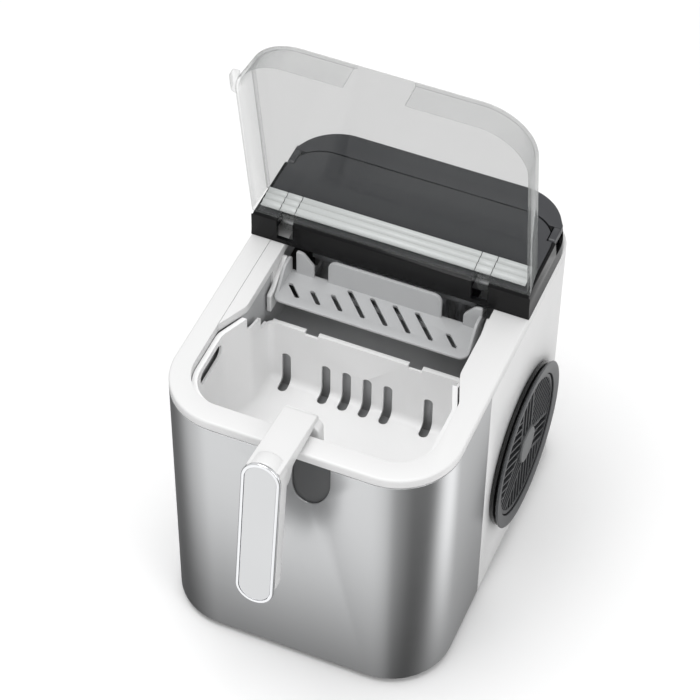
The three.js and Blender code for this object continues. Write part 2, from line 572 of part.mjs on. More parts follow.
piece(root, 'drain_cap', join(cylinder('y', [-70, 22], 7.6, 7.6, 278, 290.6, 20),
  cylinder('y', [-70, 22], 11, 10, 290.3, 295.5, 24)), 'grey');

root.position.set(...OFFSET);
root.updateMatrixWorld(true);

export default root;
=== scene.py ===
"""Looks of a countertop ice maker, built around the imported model. Lengths are millimetres until placed."""
import math

import bmesh
import bpy
import numpy as np
from mathutils import Matrix, Vector


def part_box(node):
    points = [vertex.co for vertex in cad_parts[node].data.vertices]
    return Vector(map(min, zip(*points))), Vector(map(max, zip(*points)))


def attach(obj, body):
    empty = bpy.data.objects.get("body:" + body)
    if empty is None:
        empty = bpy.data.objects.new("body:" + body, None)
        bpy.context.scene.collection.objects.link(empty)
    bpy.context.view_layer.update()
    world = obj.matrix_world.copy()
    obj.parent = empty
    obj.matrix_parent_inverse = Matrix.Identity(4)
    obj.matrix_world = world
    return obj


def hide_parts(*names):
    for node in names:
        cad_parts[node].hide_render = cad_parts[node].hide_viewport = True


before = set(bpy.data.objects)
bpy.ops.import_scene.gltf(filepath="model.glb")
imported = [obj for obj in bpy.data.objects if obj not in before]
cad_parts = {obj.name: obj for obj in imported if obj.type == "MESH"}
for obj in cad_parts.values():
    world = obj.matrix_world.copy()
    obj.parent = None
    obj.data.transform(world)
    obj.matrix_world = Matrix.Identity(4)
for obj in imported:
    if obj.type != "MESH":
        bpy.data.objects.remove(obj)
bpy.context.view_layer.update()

# ------------------------------------------------------------------ driving dimensions, millimetres
STEEL_LOW, STEEL_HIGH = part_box("steel_wrap")
MIDDLE = (STEEL_LOW.x + STEEL_HIGH.x) / 2          # middle of the body across, metres
FRONT = STEEL_LOW.y                                # front face of the steel, metres
SILL = STEEL_LOW.z                                 # lower edge of the steel, metres
HALF_W = (STEEL_HIGH.x - STEEL_LOW.x) * 500        # half width of the body
H_STEEL = (STEEL_HIGH.z - STEEL_LOW.z) * 1000      # height of the steel
SEAM_Y = (STEEL_HIGH.y - STEEL_LOW.y) * 1000       # side seam
DEPTH = 290
R_FRONT, R_REAR = 49.5, 30                         # corner radii of the body
H_DECK, H_TOP = 238.9, 263.6                       # tops of the white deck and of the black housing
Y_BLACK = 182.6                                    # front face of the black housing
SHEET, WALL = 1.2, 2.6                             # thickness of the steel and of the moulded shell
FAN_Y, FAN_Z = 186.9, 95.3                         # centre of the grille and fan
LID_Y, LID_Z, LID_OPEN = 196.2, 249.6, math.radians(81)    # hinge axis; how far the lid rests open
HANDLE_X = -3.5                                    # middle of the basket handle
GRIP_TOP, GRIP_LOW = Vector((0, -41, 248.5)), Vector((0, -56, 145))    # centres of the two grip ends
BASKET_FLOOR, RIM_Z = 131, 194.8                   # underside of the basket; its low rear rim
HINGE_SLOTS = ((-90.5, -77.5), (65.5, 78.5))       # slots in the black housing for the lid's ears
LID_EARS = ((-88, -80), (68, 76))                  # ears of the lid on its hinge pins
LID_REAR, LID_SWEEP = 180, 18.2                    # rear edge of the lid; what it clears as it turns
FOLD_Y, FOLD_Z, FOLD_R = 246, 259.8, 3.4           # carry handle axis and its arm ends


def place(points):
    """Body millimetres to the row frame in metres."""
    return [Vector((MIDDLE + x / 1000, FRONT + y / 1000, SILL + z / 1000)) for x, y, z in points]


# ------------------------------------------------------------------ outlines
def rounded(corners, seg=12):
    """Outline from (x, y, radius) corners; every rounded corner is an arc."""
    out = []
    n = len(corners)
    for i, (x, y, r) in enumerate(corners):
        if not r:
            out.append((x, y))
            continue
        p = Vector((x, y))
        a = Vector(corners[i - 1][:2])
        b = Vector(corners[(i + 1) % n][:2])
        u, w = (a - p).normalized(), (b - p).normalized()
        half = u.angle(w) / 2
        c = p + (u + w).normalized() * (r / math.sin(half))
        s = p + u * (r / math.tan(half)) - c
        e = p + w * (r / math.tan(half)) - c
        start = math.atan2(s.y, s.x)
        turn = math.remainder(math.atan2(e.y, e.x) - start, 2 * math.pi)
        k = max(2, round(seg * abs(turn) / (math.pi / 2)))
        for j in range(k + 1):
            t = start + turn * j / k
            out.append((c.x + r * math.cos(t), c.y + r * math.sin(t)))
    return [q for q, before in zip(out, out[-1:] + out[:-1]) if math.dist(q, before) > 1e-5]


def inset(outline, d):
    """Outline moved inwards by d, corners mitred. The outline runs anticlockwise."""
    p = np.array(outline)
    e = np.roll(p, -1, 0) - p
    n = np.stack([-e[:, 1], e[:, 0]], 1) / np.linalg.norm(e, axis=1)[:, None]
    m = np.roll(n, 1, 0)
    s = (m + n) / np.maximum(1 + (m * n).sum(1), 0.35)[:, None]
    return [tuple(q) for q in p + s * d]


def anticlockwise(outline):
    p = np.array(outline)
    q = np.roll(p, -1, 0)
    area = (p[:, 0] * q[:, 1] - q[:, 0] * p[:, 1]).sum()
    return outline if area > 0 else outline[::-1]


# ------------------------------------------------------------------ solids
def to_space(u, v, w, axis):
    return {"z": (u, v, w), "x": (w, u, v), "y": (u, w, v)}[axis]


def loft(rings):
    """Closed solid through rings of 3-D points, all with the same number of points."""
    bm = bmesh.new()
    rows = [[bm.verts.new(p) for p in ring] for ring in rings]
    n = len(rows[0])
    for low, high in zip(rows, rows[1:]):
        for i in range(n):
            j = (i + 1) % n
            bm.faces.new((low[i], low[j], high[j], high[i]))
    bm.faces.new(rows[0][::-1])
    bm.faces.new(rows[-1])
    bmesh.ops.recalc_face_normals(bm, faces=bm.faces)
    return bm


def slab(outline, a, b, axis="z", edge=0.0, steps=3, low_edge=None):
    """Outline extruded from a to b, its two rims rounded with radius edge."""
    outline = anticlockwise(outline)
    low_edge = edge if low_edge is None else low_edge
    rings = []

    def rim(r, at, side):
        levels = []
        for j in range(steps + 1):
            t = math.pi / 2 * j / steps
            levels.append((r * (1 - math.sin(t)), at + side * r * (1 - math.cos(t))))
        return [(r + 0.02, at)] + levels

    low = rim(low_edge, a, 1) if low_edge else [(0, a)]
    high = rim(edge, b, -1)[::-1] if edge else [(0, b)]
    for d, w in low + high:
        rings.append([to_space(u, v, w, axis) for u, v in inset(outline, d)])
    return loft(rings)


def block(x0, x1, y0, y1, z0, z1, edge=0.0):
    return slab([(x0, y0), (x1, y0), (x1, y1), (x0, y1)], z0, z1, "z", edge, 2)


def lathe(profile, axis, centre, seg=96):
    """Closed solid of revolution from (radius, height) pairs; the profile closes on itself or on the axis."""
    bm = bmesh.new()
    rows = []
    for k in range(seg):
        t = 2 * math.pi * k / seg
        row = []
        for r, h in profile:
            u, v = centre[0] + r * math.cos(t), centre[1] + r * math.sin(t)
            row.append(bm.verts.new(to_space(u, v, h, axis)))
        rows.append(row)
    m = len(profile)
    for k in range(seg):
        p, q = rows[k], rows[(k + 1) % seg]
        for i in range(m):
            j = (i + 1) % m
            bm.faces.new((p[i], p[j], q[j], q[i]))
    bmesh.ops.remove_doubles(bm, verts=bm.verts, dist=1e-4)
    bmesh.ops.dissolve_degenerate(bm, edges=bm.edges, dist=1e-4)
    bmesh.ops.recalc_face_normals(bm, faces=bm.faces)
    return bm


def rod(axis, centre, r, a, b, seg=32, edge=0.3):
    turns = [2 * math.pi * k / seg for k in range(seg)]
    circle = [(centre[0] + r * math.cos(t), centre[1] + r * math.sin(t)) for t in turns]
    return slab(circle, a, b, axis, edge, 2)


def moved(bm, matrix):
    bm.transform(matrix)
    return bm


def merged(*bms):
    out = bmesh.new()
    for bm in bms:
        mesh = bpy.data.meshes.new("part")
        bm.to_mesh(mesh)
        bm.free()
        out.from_mesh(mesh)
        bpy.data.meshes.remove(mesh)
    return out


def as_object(bm):
    mesh = bpy.data.meshes.new("work")
    bm.to_mesh(mesh)
    bm.free()
    obj = bpy.data.objects.new("work", mesh)
    bpy.context.scene.collection.objects.link(obj)
    return obj


def evaluated(obj):
    graph = bpy.context.evaluated_depsgraph_get()
    mesh = bpy.data.meshes.new_from_object(obj.evaluated_get(graph))
    bm = bmesh.new()
    bm.from_mesh(mesh)
    bpy.data.meshes.remove(mesh)
    return bm


def discard(obj):
    mesh = obj.data
    bpy.data.objects.remove(obj)
    bpy.data.meshes.remove(mesh)


def boolean(a, b, operation):
    base, tool = as_object(a), as_object(b)
    modifier = base.modifiers.new("cut", "BOOLEAN")
    modifier.object = tool
    modifier.operation = operation
    modifier.solver = "MANIFOLD"
    bpy.context.view_layer.update()
    out = evaluated(base)
    discard(base)
    discard(tool)
    return out


def cut(a, *tools):
    for tool in tools:
        a = boolean(a, tool, "DIFFERENCE")
    return a


def join(a, *others):
    for other in others:
        a = boolean(a, other, "UNION")
    return a


def meet(a, b):
    return boolean(a, b, "INTERSECT")


def eased(bm, width, segments=2, angle=40):
    """Sharp edges broken with a small radius."""
    bmesh.ops.dissolve_limit(bm, angle_limit=math.radians(0.5), verts=bm.verts, edges=bm.edges)
    obj = as_object(bm)
    modifier = obj.modifiers.new("ease", "BEVEL")
    modifier.width = width
    modifier.segments = segments
    modifier.limit_method = "ANGLE"
    modifier.angle_limit = math.radians(angle)
    modifier.use_clamp_overlap = True
    bpy.context.view_layer.update()
    out = evaluated(obj)
    discard(obj)
    return out


def piece(name, bm, material, body, replaces=(), smooth=38):
    """Makes the finished piece: its place in its mesh, its body and the solids it stands for."""
    mesh = bpy.data.meshes.new(name)
    bmesh.ops.triangulate(bm, faces=[f for f in bm.faces if len(f.verts) > 4])
    bm.to_mesh(mesh)
    bm.free()
    co = np.zeros(len(mesh.vertices) * 3)
    mesh.vertices.foreach_get("co", co)
    co = co.reshape(-1, 3) / 1000 + (MIDDLE, FRONT, SILL)
    mesh.vertices.foreach_set("co", co.ravel())
    mesh.polygons.foreach_set("use_smooth", [True] * len(mesh.polygons))
    mesh.set_sharp_from_angle(angle=math.radians(smooth))
    mesh.materials.append(material)
    obj = bpy.data.objects.new(name, mesh)
    bpy.context.scene.collection.objects.link(obj)
    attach(obj, body)
    if replaces:
        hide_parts(*replaces)


# ------------------------------------------------------------------ materials
def hex_colour(code):
    """sRGB hex to linear RGBA."""
    out = []
    for i in (0, 2, 4):
        c = int(code[i:i + 2], 16) / 255
        out.append(c / 12.92 if c <= 0.04045 else ((c + 0.055) / 1.055) ** 2.4)
    return (*out, 1)


def add(tree, kind, settings=None, links=None):
    """Adds a node, sets its properties and inputs, and links outputs of other nodes into it."""
    node = tree.nodes.new(kind)
    for key, value in (settings or {}).items():
        if key in node.inputs:
            node.inputs[key].default_value = value
        else:
            setattr(node, key, value)
    for key, source in (links or {}).items():
        tree.links.new(source, node.inputs[key])
    return node


def finish_material(name, colour, roughness, metallic=0.0, ior=1.5, grain=None, spread=0.0, **more):
    """Principled surface with fine grain: grain is (millimetres, depth of its bump in millimetres)."""
    material = bpy.data.materials.new(name)
    material.use_nodes = True
    tree = material.node_tree
    tree.nodes.clear()
    settings = {"Base Color": hex_colour(colour), "Metallic": metallic, "Roughness": roughness}
    if not metallic:
        settings["IOR"] = ior
    settings.update(more)
    shader = add(tree, "ShaderNodeBsdfPrincipled", settings)
    add(tree, "ShaderNodeOutputMaterial", links={"Surface": shader.outputs[0]})
    place_at = add(tree, "ShaderNodeTexCoord").outputs["Object"]
    if grain:
        size, depth = grain
        noise = add(tree, "ShaderNodeTexNoise", {"Scale": 1000 / size, "Detail": 3.0}, {"Vector": place_at})
        bump = add(tree, "ShaderNodeBump", {"Strength": 0.4, "Distance": depth / 1000},
                   {"Height": noise.outputs["Fac"]})
        tree.links.new(bump.outputs[0], shader.inputs["Normal"])
    if spread:
        patches = add(tree, "ShaderNodeTexNoise", {"Scale": 1000 / 45, "Detail": 2.0}, {"Vector": place_at})
        ramp = add(tree, "ShaderNodeMapRange", {"To Min": roughness - spread, "To Max": roughness + spread},
                   {"Value": patches.outputs["Fac"]})
        tree.links.new(ramp.outputs[0], shader.inputs["Roughness"])
    return material


def brushed_steel():
    """Brushed stainless steel: fine lines run round the body and smear its reflections up and down."""
    material = finish_material("brushed_stainless_steel", "d2d3d4", 0.3, metallic=1.0,
                               **{"Anisotropic": 0.85, "Anisotropic Rotation": 0.25})
    tree = material.node_tree
    shader = next(n for n in tree.nodes if n.type == "BSDF_PRINCIPLED")
    place_at = next(n for n in tree.nodes if n.type == "TEX_COORD").outputs["Object"]
    along = add(tree, "ShaderNodeTangent", {"direction_type": "RADIAL", "axis": "Z"})
    tree.links.new(along.outputs[0], shader.inputs["Tangent"])
    # brush lines are 0.5 mm apart here, coarser than the real 0.1 mm, so that they show
    stretch = add(tree, "ShaderNodeMapping", {"Scale": (12, 12, 2000)}, {"Vector": place_at})
    lines = add(tree, "ShaderNodeTexNoise", {"Scale": 1.0, "Detail": 3.0, "Roughness": 0.5},
                {"Vector": stretch.outputs[0]})
    ramp = add(tree, "ShaderNodeMapRange", {"To Min": 0.26, "To Max": 0.34}, {"Value": lines.outputs["Fac"]})
    tree.links.new(ramp.outputs[0], shader.inputs["Roughness"])
    return material


STEEL = brushed_steel()
# moulded ABS: even satin gloss with a barely visible texture
WHITE = finish_material("white_moulded_abs", "dcdcdc", 0.36, ior=1.54, grain=(1.2, 0.01), spread=0.03)
# the inner liner and basket are polypropylene, softer and slightly translucent
LINER = finish_material("white_polypropylene", "ececec", 0.42, ior=1.49, grain=(1.5, 0.01), spread=0.04)
GLOSS_BLACK = finish_material("gloss_black_abs", "0c0c0d", 0.18, ior=1.46, grain=(2.5, 0.004), spread=0.02,
                              **{"Specular IOR Level": 0.2})
PANEL_BLACK = finish_material("gloss_black_panel", "36373a", 0.34, ior=1.5, grain=(2.0, 0.001), spread=0.03)
MATT_BLACK = finish_material("black_moulded_plastic", "121213", 0.5, ior=1.5, grain=(0.8, 0.02), spread=0.05)
RING_GREY = finish_material("dark_grey_plastic", "6c6d6e", 0.4, ior=1.5, grain=(0.8, 0.01), spread=0.04)
BAND_GREY = finish_material("charcoal_plastic", "4e4f51", 0.3, ior=1.5, grain=(0.8, 0.01), spread=0.04)
GRILLE_BLACK = finish_material("gloss_black_grille", "0d0d0e", 0.14, ior=1.5, grain=(2.5, 0.004), spread=0.02)
SLAT_GREY = finish_material("slate_grey_plastic", "404143", 0.3, ior=1.5, grain=(0.8, 0.01), spread=0.04)
TRAY_GREY = finish_material("grey_acetal", "b4b5b6", 0.4, ior=1.48, grain=(1.5, 0.01), spread=0.05)
# the water tank is coloured mid grey, darker than the white liner, so the interior seen under the pusher and
# through the basket slots is darker
TANK_GREY = finish_material("grey_tank_plastic", "b4b5b6", 0.45, ior=1.49, grain=(2, 0.02), spread=0.04)
DARK_GREY = finish_material("dark_grey_backing_plastic", "4c4d4e", 0.5, ior=1.49, grain=(1.5, 0.01),
                            spread=0.05)
CHROME = finish_material("polished_chrome", "f2f3f5", 0.05, metallic=1.0, grain=(6, 0.002), spread=0.01)
SATIN = finish_material("satin_aluminium", "e2e3e4", 0.42, metallic=1.0, grain=(0.5, 0.004), spread=0.03)
RUBBER = finish_material("black_rubber", "202021", 0.8, ior=1.52, grain=(0.6, 0.03), spread=0.05)
BOARD = finish_material("green_circuit_board", "1f5c38", 0.45, ior=1.5, grain=(4, 0.05), spread=0.08)
ENAMEL = finish_material("black_enamel", "161617", 0.35, ior=1.5, grain=(3, 0.03), spread=0.06)
FIN_METAL = finish_material("rolled_aluminium_fin", "c6c7c9", 0.3, metallic=1.0, grain=(1, 0.01), spread=0.05)
FROSTED = finish_material("frosted_clear_bar", "d3d6d5", 0.12, ior=1.49, grain=(3, 0.05), spread=0.05,
                          Alpha=0.85)


def clear_plastic(name, roughness, face, edge, start):
    """Clear plastic sheet: face and edge are (colour, cover) seen straight on and edge-on; the lighter, more
    opaque edge-on look is a painted sheen.
    """
    material = finish_material(name, face[0], roughness, ior=1.49, grain=(30, 0.01), spread=0.01)
    tree = material.node_tree
    shader = next(n for n in tree.nodes if n.type == "BSDF_PRINCIPLED")
    edge_on = add(tree, "ShaderNodeLayerWeight", {"Blend": 0.35}).outputs["Facing"]
    rim = add(tree, "ShaderNodeMapRange", {"From Min": start}, {"Value": edge_on})
    cover = add(tree, "ShaderNodeMapRange", {"To Min": face[1], "To Max": edge[1]}, {"Value": rim.outputs[0]})
    # painted sheen: edge-on the colour turns light grey and the sheet more opaque, standing in for reflected
    # light
    painted_sheen_colour = add(tree, "ShaderNodeMix", {"data_type": "RGBA"}, {"Factor": rim.outputs[0]})
    painted_sheen_colour.inputs[6].default_value = hex_colour(face[0])
    painted_sheen_colour.inputs[7].default_value = hex_colour(edge[0])
    tree.links.new(cover.outputs[0], shader.inputs["Alpha"])
    tree.links.new(painted_sheen_colour.outputs[2], shader.inputs["Base Color"])
    return material


# smoke-tinted acrylic, 2 mm: edge-on it turns more opaque and light grey, a painted sheen
CLEAR = clear_plastic("smoke_clear_acrylic", 0.05, ("2a2d2c", 0.23), ("b9bdbc", 0.66), 0.55)
# the walls of the lid are thin and clear; edge-on they turn opaque and light grey, a painted sheen
CLEAR_EDGE = clear_plastic("clear_lid_wall", 0.1, ("7b7e7d", 0.08), ("bfc2c1", 0.78), 0.3)


# ------------------------------------------------------------------ plan views
def body_outline(d=0.0, seg=24):
    return rounded([(-HALF_W + d, d, R_FRONT - d), (HALF_W - d, d, R_FRONT - d),
                    (HALF_W - d, DEPTH - d, R_REAR - d), (-HALF_W + d, DEPTH - d, R_REAR - d)], seg)


def well_outline(d=0.0, y_rear=236, seg=18):
    return rounded([(-96 + d, 17.6 + d, 32 - d), (94 - d, 17.6 + d, 32 - d), (94 - d, 88, 16),
                    (84.5 - d, 114, 16), (84.5 - d, y_rear - d, 0), (-96 + d, y_rear - d, 0)], seg)


def wrap_outline(y0, y1, thickness, keep_front):
    """Open band of wall seen from above, from the seam round the front or the rear."""
    def side(points):
        return [p for p in points if (p[1] < y1 if keep_front else p[1] > y0)]
    outer, inner = body_outline(0, 36), body_outline(thickness, 36)
    seam = y1 if keep_front else y0
    if keep_front:
        o, i = side(outer), side(inner)
        return [(-HALF_W, seam)] + o + [(HALF_W, seam), (HALF_W - thickness, seam)] + i[::-1] + [
            (-HALF_W + thickness, seam)]
    o, i = side(outer), side(inner)
    return [(HALF_W, seam)] + o + [(-HALF_W, seam), (-HALF_W + thickness, seam)] + i[::-1] + [
        (HALF_W - thickness, seam)]


# ------------------------------------------------------------------ housing
def steel_wrap():
    band = slab(wrap_outline(0, SEAM_Y - 0.2, SHEET, True), 0, H_STEEL - 0.1, "z", 0.3)
    notch = [(2.3, 245), (2.3, 206), (2.5, 201.5), (3.2, 197.5), (4.6, 193.6), (6.8, 190), (9.8, 187.6),
             (13.5, 186.5), (17.2, 186.8), (20.5, 188.3), (23.5, 191), (26.2, 194.9), (28.6, 199.8),
             (30.4, 205), (31.5, 210.5), (31.7, 216), (31.7, 245)]
    return eased(cut(band, slab(notch, -3, 4, "y")), 0.25)


def rear_housing():
    band = slab(wrap_outline(SEAM_Y + 0.4, 0, WALL, False), 0, H_STEEL + 0.2, "z", 0.3)
    tools = [rod("x", (FAN_Y, FAN_Z), 57.5, 100, 120, 96, 0), block(50, 78, 280, 295, 22, 46),
             rod("y", (-70, 22), 8, 280, 295, 32, 0)]
    vent = slab(rounded([(-61.9, 120, 2.3), (-57.1, 120, 2.3), (-57.1, 190, 2.3), (-61.9, 190, 2.3)], 5),
                280, 295, "y")
    tools.append(repeated(vent, 9, (10, 0, 0), WHITE))
    return eased(cut(band, merged(*tools)), 0.3)


def top_deck():
    plate = slab(body_outline(0.1), H_STEEL + 0.4, H_DECK, "z", 1.9, 4, 0.5)
    plate = cut(plate, slab(well_outline(0), 200, 260))
    return eased(plate, 1.3, 3, 50)


def base_plate():
    return slab(body_outline(3.2), 0.4, 4.2, "z", 0.5)


def foot(x, y):
    profile = [(0, -5.5), (8.6, -5.5), (9.6, -5.1), (10.3, -4.2), (10.5, -3), (10.5, -0.8), (10, 0), (0, 0)]
    return lathe(profile, "z", (x, y), 48)


def black_top_outline(d, seg=24):
    return rounded([(-HALF_W + d, Y_BLACK, 0.6), (HALF_W - d, Y_BLACK, 0.6),
                    (HALF_W - d, DEPTH + 1.6 - d, 42 - d), (-HALF_W + d, DEPTH + 1.6 - d, 42 - d)], seg)


def plate_outline(d=0.0, seg=20):
    return rounded([(-107.5 + d, Y_BLACK + 3 + d, 1), (107.5 - d, Y_BLACK + 3 + d, 1),
                    (107.5 - d, 264.6 - d, 30), (-107.5 + d, 264.6 - d, 30)], seg)


def arm_slots():
    """Slots for the arms of the carry handle, open to the side as finger recesses."""
    y0 = FOLD_Y - FOLD_R - 1
    return [block(102.3, 125, y0, 266, 250.6, 275), block(-125, -102.3, y0, 266, 250.6, 275)]


def top_housing():
    z0, edge = H_DECK + 0.35, 1.6
    levels = [(0.3, z0), (0, z0 + 0.3), (0.9, 252), (2.0, H_TOP - edge)]
    levels += [(2.0 + edge * (1 - math.cos(t)), H_TOP - edge + edge * math.sin(t))
               for t in (0.35, 0.7, 1.05, 1.4, math.pi / 2)]
    levels.append((2.02 + edge + 0.03, H_TOP))
    base = anticlockwise(black_top_outline(0))
    rings = [[(ix, y if y < Y_BLACK + 3 else iy, z) for (x, y), (ix, iy) in zip(base, inset(base, d))]
             for d, z in levels]
    hollow = meet(slab(black_top_outline(4), 230, 253.2), block(-120, 120, Y_BLACK + 3, 300, 220, 260))
    shell = cut(loft(rings), hollow, slab(plate_outline(-0.35), 261.6, 270))
    bed = meet(slab(black_top_outline(1.6), 255.3, 275), block(-120, 120, 256.4, 300, 250, 280))
    shelf = meet(slab(plate_outline(1.5), 250, 261.6), block(-100, 100, 180, 300, 240, 270))
    y, z = Y_BLACK - 1, H_TOP + 1
    nose = slab([(y, z - 4.5), (y + 4.5, z), (y, z)], -120, 120, "x")
    slots = [block(a, b, 170, 210, 243.2, 275) for a, b in HINGE_SLOTS]
    return eased(cut(shell, cut(bed, shelf), nose, *arm_slots(), *slots), 0.35, 2, 40)


def control_plate():
    plate = slab(plate_outline(0.1), 262, H_TOP + 0.02, "z", 0.45)
    return eased(cut(plate, *arm_slots(), *[block(a, b, 170, 210, 250, 275) for a, b in HINGE_SLOTS]), 0.2)


def carry_handle():
    plan = rounded([(-109.4, 180, 0), (109.4, 180, 0), (109.4, 289.6, 40), (-109.4, 289.6, 40)], 24)
    bar = meet(slab(plan, 256, H_TOP, "z", 1.3, 4, 0.6), block(-130, 130, 257.5, 300, 240, 280))
    inside = [(-108.6, 180, 0), (108.6, 180, 0), (108.6, 265.6, 30.5), (-108.6, 265.6, 30.5)]
    bar = cut(bar, slab(rounded(inside, 20), 240, 280))
    side = rounded([(FOLD_Y - FOLD_R, FOLD_Z - FOLD_R, FOLD_R - 0.01), (262, FOLD_Z - FOLD_R, 0),
                    (262, FOLD_Z + FOLD_R, 0), (FOLD_Y - FOLD_R, FOLD_Z + FOLD_R, FOLD_R - 0.01)], 10)
    arms = [slab(side, *sorted((s * 103, s * 108.4)), "x", 0.4) for s in (1, -1)]
    return eased(join(bar, *arms), 0.35)


# ------------------------------------------------------------------ lid
def opened(bm):
    """Turns what is drawn closed into the resting open place about the hinge axis."""
    pivot = Vector((0, LID_Y, LID_Z))
    turn = Matrix.Rotation(-LID_OPEN, 4, "X")
    return moved(bm, Matrix.Translation(pivot) @ turn @ Matrix.Translation(-pivot))


def lid_ring(d, z, lean, rear, seg=20):
    return [(x, y, z) for x, y in rounded([
        (-108.2 - lean + d, 1.2 - lean + d, 41 - d), (108.2 + lean - d, 1.2 - lean + d, 41 - d),
        (108.2 + lean - d, rear, 1.5), (-108.2 - lean + d, rear, 1.5)], seg)]


def lid_shell():
    top, low, wall = 263.2, H_DECK + 0.3, 2.2

    def shape(d, rear, z0, z1, r):
        levels = [(d, z0)] + [(d + r * (1 - math.cos(t)), z1 - r + r * math.sin(t))
                              for t in (0, 0.3, 0.6, 0.9, 1.2, math.pi / 2)] + [(d + r + 0.03, z1)]
        return loft([lid_ring(e, z, (top - z) / (top - low) * 2.6, rear - (e - d) - (0 if d else 0.01), 20)
                     for e, z in levels])
    shell = cut(shape(0, LID_REAR, low, top, 3.2), shape(wall, LID_REAR - 3.8, low - 3, top - 2.4, 1.6),
                rod("x", (LID_Y, LID_Z), LID_SWEEP, -130, 130, 160, 0))
    notch = rounded([(HANDLE_X - 23, 220, 0), (HANDLE_X + 23, 220, 0), (HANDLE_X + 23, 262, 5),
                     (HANDLE_X - 23, 262, 5)], 8)
    shell = cut(shell, slab(notch, -20, 12, "y"))
    ears = []
    for a, b in LID_EARS:
        ear = rounded([(176.6, 243.5, 2), (LID_Y - 3, 243.5, 2), (LID_Y + 5.6, 244.5, 5),
                       (LID_Y + 5.6, 255.2, 5), (186, 256.5, 3), (183, 260.9, 0), (176.6, 260.9, 0)], 8)
        ears.append(slab(ear, a, b, "x", 0.4))
    tab = rounded([(-115.5, 24, 3), (-115.5, 44, 3), (-108.8, 44, 0), (-108.8, 24, 0)], 6)
    tab = slab(tab, 240.5, 246.5, "z", 0.8)
    shell = join(shell, tab, *ears)
    shell = cut(shell, *[rod("x", (LID_Y, LID_Z), 2.4, a - 1, b + 1, 24, 0) for a, b in LID_EARS])
    shell = eased(shell, 0.3, 2, 50)
    split = top - 2.4
    plate = meet(shell.copy(), block(-130, 130, -20, 178, split, 300))
    skirt = cut(shell, block(-130, 130, -20, 178, split - 0.01, 300))
    return opened(plate), opened(skirt)


def hinge_bar():
    """Fluted strip inside the back wall of the lid: its lengthwise flutes catch the light in streaks."""
    profile = []
    flutes, z0, z1 = 3, 243.4, 260.4
    for k in range(flutes * 8 + 1):
        t = k / (flutes * 8)
        profile.append((174.5 + 1.3 * abs(math.sin(math.pi * flutes * t)), z0 + (z1 - z0) * t))
    profile += [(176.15, z1), (176.15, z0)]
    return opened(merged(*[slab(profile, a, b, "x", 0.2, 2) for a, b in (
        (-105.5, -90.4), (-89.9, -78.1), (-77.6, 65.4), (65.9, 78.1), (78.6, 105.5))]))


# ------------------------------------------------------------------ basket
def basket_outline(d=0.0, seg=18):
    return rounded([(-93.5 + d, 20.2 + d, 29 - d), (91.5 - d, 20.2 + d, 29 - d), (91.5 - d, 86, 15),
                    (81.8 - d, 112, 15), (81.8 - d, 145 - d, 6), (-81.8 + d, 145 - d, 6),
                    (-81.8 + d, 112, 15), (-93.5 + d, 86, 15)], seg)


def ice_basket():
    lip = meet(slab(basket_outline(-2.1), 229.4, 231.5, "z", 0.5), block(-120, 120, 0, 108, 220, 240))
    outer = join(slab(basket_outline(0), BASKET_FLOOR, 231.4, "z", 0, 3, 5), lip)
    inner = slab(basket_outline(2), BASKET_FLOOR + 2.4, 245, "z", 0, 4, 6)
    shell = cut(outer, inner)
    step = rounded([(108, 260, 0), (108, 220, 2.5), (128, 214, 3), (128, 201, 2.5), (139, 199, 2),
                    (139, RIM_Z, 1), (160, RIM_Z, 0), (160, 260, 0)], 6)
    tools = [block(-50.6, -39.7, 138, 152, RIM_Z - 3, 200), block(33.4, 44.5, 138, 152, RIM_Z - 3, 200)]
    rear_rim = block(-78, 78, 144, 147.2, RIM_Z - 2, RIM_Z - 0.02, 0.4)
    shell = join(cut(shell, slab(step, -110, 110, "x")), rear_rim)
    for x in (-66, -33, -16, 1, 18, 51):
        wall = rounded([(x - 3.7, 126, 0), (x + 3.7, 126, 0), (x + 3.7, 164, 3.6), (x - 3.7, 164, 3.6)], 8)
        floor = rounded([(x - 3.7, 131, 3.6), (x + 3.7, 131, 3.6), (x + 3.7, 150, 0), (x - 3.7, 150, 0)], 8)
        tools += [slab(wall, 137, 150, "y"), slab(floor, 126, 142)]
    hole = rounded([(48, 213, 6), (84, 213, 6), (84, 226, 6), (48, 226, 6)], 8)
    tools.append(slab(hole, -105, -80, "x"))
    return eased(cut(shell, *tools), 0.5, 3, 45)


def grip_slab(r, front, back, edge, seg=24):
    axis = GRIP_TOP - GRIP_LOW
    outline = rounded([(-r, -axis.length - r, r - 0.01), (r, -axis.length - r, r - 0.01), (r, r, r - 0.01),
                       (-r, r, r - 0.01)], seg)
    lean = math.atan2(GRIP_TOP.y - GRIP_LOW.y, GRIP_TOP.z - GRIP_LOW.z)
    turn = Matrix.Translation((HANDLE_X, GRIP_TOP.y, GRIP_TOP.z)) @ Matrix.Rotation(-lean, 4, "X")
    return moved(slab(outline, front, back, "y", edge), turn)


def basket_handle():
    arm = rounded([(22.6, 205, 2), (32, 205, 2), (32.5, 248, 6), (-28, 256, 0), (-39.5, 257.6, 0),
                   (-37.5, 236, 0), (-20, 226, 10), (-13, 241, 4), (22.6, 240.6, 0)], 10)
    saddle = rounded([(-16, 205, 0), (11, 205, 0), (13.4, 214, 5), (13.2, 240, 7), (4, 247.5, 4),
                      (-16, 247.5, 0)], 8)
    handle = join(slab(arm, HANDLE_X - 12.7, HANDLE_X + 12.7, "x", 1.2), grip_slab(13.6, 3.2, 18.5, 2.5),
                  slab(saddle, 22.6, 32, "y", 1.2))
    front = grip_slab(30, -30, 3.2, 0, 4)
    return eased(cut(handle, front), 0.8, 3, 45)


def handle_ring():
    return eased(cut(grip_slab(15, 0, 2.9, 0.9), grip_slab(12.4, -2, 1.4, 0)), 0.3)


